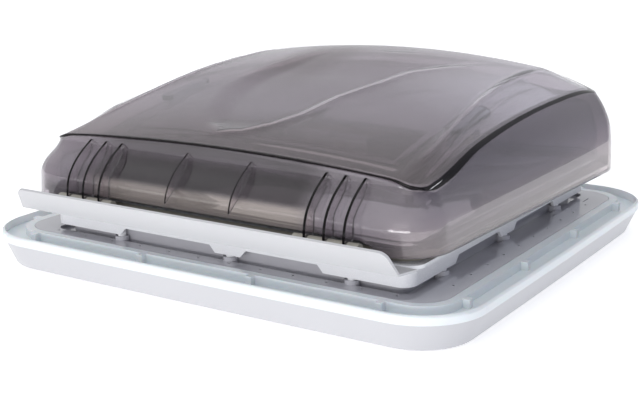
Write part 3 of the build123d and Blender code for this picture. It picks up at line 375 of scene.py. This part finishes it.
def plan_point(shape, k):
    """Point k of 4 x SIDE round a plan, counted from the middle of the front left corner. A plan
    gives front, rear, both halves, both corner radii, and how far the front side bows out."""
    front, rear, front_half, rear_half, front_round, rear_round, bow = shape
    side, i = divmod(k % (4 * SIDE), SIDE)
    corners = ((-front_half, -front, front_round, 225), (front_half, -front, front_round, 315),
               (rear_half, rear, rear_round, 45), (-rear_half, rear, rear_round, 135))
    near, far = corners[side], corners[(side + 1) % 4]

    def arc(corner, turn):
        x, y, r, start = corner
        cx, cy = x - math.copysign(r, x), y - math.copysign(r, y)
        a = math.radians(start + turn)
        return Vector((cx + r * math.cos(a), cy + r * math.sin(a)))

    if i < ARC:
        return arc(near, 45 * i / ARC)
    if i > SIDE - ARC:
        return arc(far, -45 * (SIDE - i) / ARC)
    t = (i - ARC) / (SIDE - 2 * ARC)
    point = arc(near, 45).lerp(arc(far, -45), t)
    if side == 0:
        point.y -= bow * 4 * t * (1 - t)
    return point


def ring(shape, height):
    """A closed row of points round a plan; height is a number or a function of place."""
    row = []
    for k in range(4 * SIDE):
        p = plan_point(shape, k)
        row.append(Vector((p.x, p.y, height(p.x, p.y) if callable(height) else height)))
    return row


def wall_rows(top, bottom, inset, count):
    """Rows down the wall from the row top to the heights in bottom."""
    rows = []
    for step in range(count):
        t = step / (count - 1)
        row = []
        for k in range(4 * SIDE):
            z = top[k].z + (bottom[k] - top[k].z) * t
            p = plan_point(wall_shape(z, inset), k)
            row.append(Vector((p.x, p.y, z)))
        rows.append(row)
    return rows


def sheet_over(edge, height):
    """A lid between the points of a closed row, as a grid whose edge lies on the row."""
    bm = bmesh.new()
    bmesh.ops.create_grid(bm, x_segments=SIDE, y_segments=SIDE, size=0.5)
    corner = {s: edge[s * SIDE].xy for s in range(4)}
    for v in bm.verts:
        i, j = round((v.co.x + 0.5) * SIDE), round((v.co.y + 0.5) * SIDE)
        u, w = i / SIDE, j / SIDE
        front, rear = edge[i].xy, edge[3 * SIDE - i].xy
        right, left = edge[SIDE + j].xy, edge[(4 * SIDE - j) % (4 * SIDE)].xy
        place = (front * (1 - w) + rear * w + left * (1 - u) + right * u
                 - corner[0] * (1 - u) * (1 - w) - corner[1] * u * (1 - w)
                 - corner[2] * u * w - corner[3] * (1 - u) * w)
        on_edge = i in (0, SIDE) or j in (0, SIDE)
        z = height(place.x, place.y)
        if on_edge:
            k = (i if j == 0 else SIDE + j if i == SIDE
                 else 3 * SIDE - i if j == SIDE else 4 * SIDE - j)
            z = edge[k % (4 * SIDE)].z
        v.co = (place.x, place.y, z)
    return bm


def band_through(rows, finish=lambda row: 0):
    """A wall through closed rows of points, as a grid wrapped round; finish picks its materials."""
    bm = bmesh.new()
    bmesh.ops.create_grid(bm, x_segments=4 * SIDE, y_segments=len(rows) - 1, size=0.5)
    for face in bm.faces:
        face.material_index = finish(int((face.calc_center_median().y + 0.5) * (len(rows) - 1)))
    for v in bm.verts:
        k = round((v.co.x + 0.5) * 4 * SIDE) % (4 * SIDE)
        v.co = rows[round((v.co.y + 0.5) * (len(rows) - 1))][k]
    return bm


def piece(name, forms, finishes, body, sharp=None):
    """Joins bmesh forms into one object at the origin, closed, smooth and facing outwards."""
    whole = bmesh.new()
    for form in forms:
        mesh = bpy.data.meshes.new("part")
        form.to_mesh(mesh)
        form.free()
        whole.from_mesh(mesh)
        bpy.data.meshes.remove(mesh)
    bmesh.ops.remove_doubles(whole, verts=whole.verts, dist=WELD)
    bmesh.ops.scale(whole, vec=(MM, MM, MM), verts=whole.verts)
    bmesh.ops.recalc_face_normals(whole, faces=whole.faces)
    for face in whole.faces:
        face.smooth = True
    mesh = bpy.data.meshes.new(name)
    whole.to_mesh(mesh)
    whole.free()
    if sharp:
        mesh.set_sharp_from_angle(angle=math.radians(sharp))
    made = bpy.data.objects.new(name, mesh)
    bpy.context.scene.collection.objects.link(made)
    for finish in finishes:
        mesh.materials.append(finish)
    if body:
        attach(made, body)
    return made


# Outer pane: lid, lip, wall down to the edge, and the same again inside. The lip is thicker on
# the right side, where the photo shows a broad dark edge
# the lip's side band takes the near-black edge finish, painted shade, so a taller band gives a
# broader dark edge
EDGE, EDGE_RIGHT, EDGE_FROM, EDGE_RUN = 1.8, 1.8, 165.0, 35.0
OVERHANG_SOFT = 1.2
OUTER_ROWS, INNER_ROWS = 26, 20
RIM = 1 + OUTER_ROWS      # the band that closes the wall below, in the rows of the shell
lip = (LIP_FRONT, LIP_REAR, LIP_HALF, LIP_HALF, 18.0, 26.0, 3.0)
lip_row = ring(lip, lid_height)
bottom = []
for k in range(4 * SIDE):
    p = plan_point(wall_shape(BOTTOM, 0), k)
    rise = (smooth((RAISED_HALF + RAISED_SLOPE - abs(p.x)) / RAISED_SLOPE)
            if p.y < RAISED_FRONT else 0.0)
    bottom.append(BOTTOM + (RAISED - BOTTOM) * rise)
under = [p - Vector((0, 0, EDGE + EDGE_RIGHT * smooth((p.x - EDGE_FROM) / EDGE_RUN)))
         for p in lip_row]
wall = wall_rows(under, bottom, 0.0, OUTER_ROWS)
lip_under = []
for k, p in enumerate(lip_row):
    outward = Vector((p.x, p.y)).normalized()
    hang = (p.xy - wall[0][k].xy).dot(outward)
    lip_under.append(p.lerp(wall[0][k], 0.5).lerp(under[k], smooth(hang / OVERHANG_SOFT)))
inner_edge = ring((LIP_FRONT - 4, LIP_REAR - 3, LIP_HALF - 5, LIP_HALF - 5, 17.0, 24.0, 2.0),
                  lambda x, y: lid_height(x, y, LID))
inner_wall = wall_rows([p - Vector((0, 0, LID)) for p in inner_edge], bottom, LID, INNER_ROWS)
dome_shell = piece("dome_shell", [
    sheet_over(lip_row, lid_height),
    # the lip band and the closing band at the foot take the near-black edge finish: painted shade
    band_through([lip_row, lip_under] + wall + inner_wall[::-1] + [inner_edge],
                 lambda row: 1 if row < 2 or row == RIM else 2),
    sheet_over(inner_edge, lambda x, y: lid_height(x, y, LID)),
], [smoked_lid, smoked_edge, smoked_wall], "dome")
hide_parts("outer_dome")

# Inner pane: a raised panel inside a border, a wall and a flange
PANE_INSET, PANE_DROP, PANE_ROWS, PANE_ROUND = 16.0, 17.0, 16, 5.0
FLANGE_LOW, FLANGE_TOP, FLANGE_INSET, FLANGE_HOLE = 75.5, 78.0, 3.6, 198.0
PANEL_HALF, PANEL_REAR, PANEL_FRONT, PANEL_STEP, PANEL_SLOPE = 146.0, 150.0, 134.0, 3.5, 7.0


def pane_height(x, y, drop):
    """Height of the inner pane: it follows the lid, with a raised panel inside a border."""
    out = max(abs(x) - PANEL_HALF, y - PANEL_REAR, -PANEL_FRONT - y)
    return lid_height(x, y, drop, False) - PANEL_STEP * smooth(out / PANEL_SLOPE)


def pane_rows(inset, drop):
    """Edge of the inner lid and the rows of its wall, rounded into each other."""
    shape = wall_shape(120.0, inset)
    plan = (shape[0], LIP_REAR - inset + 2, shape[2] - 3, LIP_HALF - inset - 3, 16.0, 24.0, 0.0)
    edge = ring(plan, lambda x, y: pane_height(x, y, drop))
    low = [FLANGE_TOP] * (4 * SIDE)
    return edge, wall_rows([p - Vector((0, 0, PANE_ROUND)) for p in edge], low, inset, PANE_ROWS)


pane_edge, pane_wall = pane_rows(PANE_INSET, PANE_DROP)
pane_edge_in, pane_wall_in = pane_rows(PANE_INSET + PANE, PANE_DROP + PANE)
flange_out = wall_shape(76.0, FLANGE_INSET)
flange_in = (FLANGE_HOLE, FLANGE_HOLE, FLANGE_HOLE, FLANGE_HOLE, 13.0, 13.0, 0.0)
pane_shell = piece("pane_shell", [
    sheet_over(pane_edge, lambda x, y: pane_height(x, y, PANE_DROP)),
    band_through([pane_edge] + pane_wall
                 + [ring(flange_out, FLANGE_TOP), ring(flange_out, FLANGE_LOW),
                    ring(flange_in, FLANGE_LOW), ring(flange_in, FLANGE_TOP)]
                 + pane_wall_in[::-1] + [pane_edge_in]),
    sheet_over(pane_edge_in, lambda x, y: pane_height(x, y, PANE_DROP + PANE)),
], [clear_acrylic], "dome")
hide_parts("inner_dome")

# Hinge ribs and fins on the front wall
HINGE = (-222.0, 74.5)
RIB_LUG, LUG_STEP = 5.0, 12              # radius, and degrees from corner to corner
RIB_PLACES, RIB_THICK = (113.0, 132.2, 151.4), 2.6
FIN_PLACES, FIN_THICK = (-35.0, 35.0), 1.4
RIB_STEPS, FIN_STEPS = 25, 22            # corners of the front edge; a fin ends above the hinge
RIB_ROOT, RIB_TOP = -0.892 * FRONT, BOTTOM - 2.0 + 0.519 * HEIGHT      # Y and Z of its upper end
WALL_FOOT, ROOT_DEPTH = -211.4, 1.2      # Y of the wall low down, and how far a rib goes into it
WALL_BEND, WALL_BULGE, RIB_LOW = BOTTOM + 0.41 * HEIGHT, BOTTOM + 0.248 * HEIGHT, 83.0     # in Z
RIB_EDGE = ((0.0, 1.0), (0.5, 0.77), (0.8, 0.55), (0.94, 0.36), (1.0, 0.13))


def rib(place, thickness, lug):
    """One rib as a flat outline in the YZ plane, given its thickness by an extrusion."""
    reach = RIB_LUG - HINGE[0] + RIB_ROOT
    edge = []
    table = tuple((i / 4, *p) for i, p in enumerate(RIB_EDGE))
    for step in range(RIB_STEPS):
        _, out, up = along(table, step / (RIB_STEPS - 1))
        edge.append((RIB_ROOT - out * reach, HINGE[1] + up * (RIB_TOP - HINGE[1])))
    inside = [(RIB_ROOT + ROOT_DEPTH, RIB_TOP), (RIB_ROOT + ROOT_DEPTH, WALL_BEND),
              (WALL_FOOT, WALL_BULGE)]
    if lug:
        turn = [math.radians(a) for a in range(180, 361, LUG_STEP)]
        low = [(HINGE[0] + RIB_LUG * math.cos(a), HINGE[1] + RIB_LUG * math.sin(a)) for a in turn]
        outline = edge[:-1] + low + [(WALL_FOOT, RIB_LOW)] + inside[::-1]
    else:
        outline = edge[:FIN_STEPS] + inside[::-1]
    bm = bmesh.new()
    corners = [bm.verts.new((place - thickness / 2, y, z)) for y, z in outline]
    face = bm.faces.new(corners)
    moved = bmesh.ops.extrude_face_region(bm, geom=[face])["geom"]
    bmesh.ops.translate(bm, vec=(thickness, 0, 0),
                        verts=[g for g in moved if isinstance(g, bmesh.types.BMVert)])
    bmesh.ops.triangulate(bm, faces=[f for f in bm.faces if len(f.verts) > 4])
    bm.normal_update()
    # faces round the outline take the near-black edge finish: painted shade
    for face in bm.faces:
        face.material_index = 0 if abs(face.normal.x) > 0.9 else 1
    return bm


ribs = [rib(side * place, RIB_THICK, True) for place in RIB_PLACES for side in (-1, 1)]
fins = [rib(place, FIN_THICK, False) for place in FIN_PLACES]
dome_ribs = piece("dome_ribs", ribs + fins, [smoked_rib, smoked_edge], "dome", sharp=35)

# ---------------------------------------------------------------- pleated blind and fly screen

PLEATS, FOLD, CLOTH_HALF = 25, 3.5, 183.0         # count, half height and half width in mm
FOLD_NEAR, FOLD_FAR, CLOTH = 164.3, 194.9, 0.3     # the bar's face, the cassette's, and the cloth
for name, node, body, end, level, finish in (
        ("blind_pleats", "blind_fabric", "blind", 1, 21.9, blind_cloth),
        ("screen_pleats", "screen_net", "screen", -1, 9.9, screen_cloth)):
    pleats = bmesh.new()
    bmesh.ops.create_grid(pleats, x_segments=12, y_segments=2 * PLEATS, size=0.5)
    for v in pleats.verts:
        step = round((v.co.y + 0.5) * 2 * PLEATS)
        v.co = (2 * CLOTH_HALF * v.co.x,
                end * (FOLD_NEAR + (FOLD_FAR - FOLD_NEAR) * step / (2 * PLEATS)),
                level + FOLD * (-1) ** step)
    sheet = piece(name, [pleats], [finish], None, sharp=30)
    sheet.modifiers.new("cloth", "SOLIDIFY").thickness = CLOTH * MM
    sheet.modifiers["cloth"].offset = 0.0
    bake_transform(sheet)
    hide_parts(node)

# Folded leaf spring over the lock button, in mm; the real one shortens as the button goes in, this
# one is built at rest
LEAVES, LEAF_HALF, LEAF_FOLD, LEAF_WIDTH = 4, 9.0, 2.8, 8.0
SPRING_LOW, SPRING_TOP, BUTTON_Y, BUTTON_TRAVEL = 58.1, 71.1, 172.0, 4.0
strip = bmesh.new()
bmesh.ops.create_grid(strip, x_segments=1, y_segments=LEAVES, size=0.5)
for v in strip.verts:
    step = round((v.co.y + 0.5) * LEAVES)
    v.co = (LEAF_HALF * (-1) ** step + LEAF_FOLD * v.co.x, BUTTON_Y - LEAF_WIDTH / 2,
            SPRING_LOW + (SPRING_TOP - SPRING_LOW) * step / LEAVES)
moved = bmesh.ops.extrude_face_region(strip, geom=list(strip.faces))["geom"]
bmesh.ops.translate(strip, vec=(0, LEAF_WIDTH, 0),
                    verts=[g for g in moved if isinstance(g, bmesh.types.BMVert)])
spring = piece("spring_leaves", [strip], [plated_steel], "bow", sharp=20)
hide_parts("button_spring")
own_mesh(spring)

# ---------------------------------------------------------------- floor, light and camera

floor_mesh = bmesh.new()
bmesh.ops.create_grid(floor_mesh, x_segments=1, y_segments=1, size=12.0)
# just under the trim, so that the two faces don't lie in one plane
bmesh.ops.translate(floor_mesh, vec=(0, 0, -0.5 * MM), verts=floor_mesh.verts)
floor_data = bpy.data.meshes.new("floor")
floor_mesh.to_mesh(floor_data)
floor_mesh.free()
floor = bpy.data.objects.new("floor", floor_data)
bpy.context.scene.collection.objects.link(floor)
floor_data.materials.append(moulded("floor_card", "#fdfdfd", "#fafafa", 0.8, 40.0, 0.02, IOR=1.3,
                                   Emission_Color=linear("#ffffff"), Emission_Strength=0.45))

world = bpy.data.worlds.new("studio")
bpy.context.scene.world = world
world.use_nodes = True
tree = world.node_tree
tree.nodes.clear()
# A pale tent: brightest overhead, softer round the sides and dimmest to the right
toward = add(tree, "ShaderNodeSeparateXYZ",
             [("Vector", add(tree, "ShaderNodeTexCoord").outputs["Generated"])])
rise, right = (add(tree, "ShaderNodeMapRange",
                   [("Value", toward.outputs[axis]), ("From Min", 0.1), ("From Max", 0.9)],
                   interpolation_type="SMOOTHSTEP") for axis in "ZX")
tent = add(tree, "ShaderNodeMix", [("Factor", rise.outputs["Result"]), (6, linear("#dcdde0")),
                                   (7, linear("#f4f5f7"))], data_type="RGBA")
tent = add(tree, "ShaderNodeMix", [("Factor", right.outputs["Result"]), (6, tent.outputs[2]),
                                   (7, linear("#8f95a6"))], data_type="RGBA")
sky = add(tree, "ShaderNodeBackground", [("Color", tent.outputs[2]), ("Strength", 0.95)])
add(tree, "ShaderNodeOutputWorld", [("Surface", sky.outputs["Background"])])


def softbox(name, place, target, width, height, power, tint):
    """A soft rectangular lamp that faces a point."""
    lamp = bpy.data.lights.new(name, "AREA")
    lamp.shape, lamp.size, lamp.size_y = "RECTANGLE", width, height
    lamp.energy, lamp.color = power, linear(tint)[:3]
    made = bpy.data.objects.new(name, lamp)
    bpy.context.scene.collection.objects.link(made)
    made.location = place
    made.rotation_mode = "QUATERNION"
    made.rotation_quaternion = (Vector(target) - Vector(place)).to_track_quat("-Z", "Y")
    return made


# A broad lamp high in front, and a low one that reaches in under the deflector
softbox("key_front", (0.45, -1.8, 1.0), (0, -0.1, 0.1), 1.3, 0.9, 2.0, "#fffdfa")
softbox("fill_low", (0.35, -1.7, 0.1), (0, 0, 0.04), 1.6, 0.25, 9.0, "#ffffff")

camera = bpy.data.objects.new("camera", bpy.data.cameras.new("camera"))
bpy.context.scene.collection.objects.link(camera)
camera.data.sensor_width = 36.0
camera.data.lens = 70.72
camera.data.shift_x = -1.4 / 640
camera.location = (0.6609, -1.0661, 0.3739)
yaw, pitch, roll = math.radians(32.29), math.radians(14.7), math.radians(-0.27)
look = Vector((-math.sin(yaw) * math.cos(pitch), math.cos(yaw) * math.cos(pitch), -math.sin(pitch)))
camera.rotation_mode = "QUATERNION"
camera.rotation_quaternion = (look.to_track_quat("-Z", "Y")
                              @ Matrix.Rotation(roll, 3, "Z").to_quaternion())
camera.data.clip_start, camera.data.clip_end = 0.05, 50.0
bpy.context.scene.camera = camera

bpy.context.scene.view_settings.view_transform = "Standard"
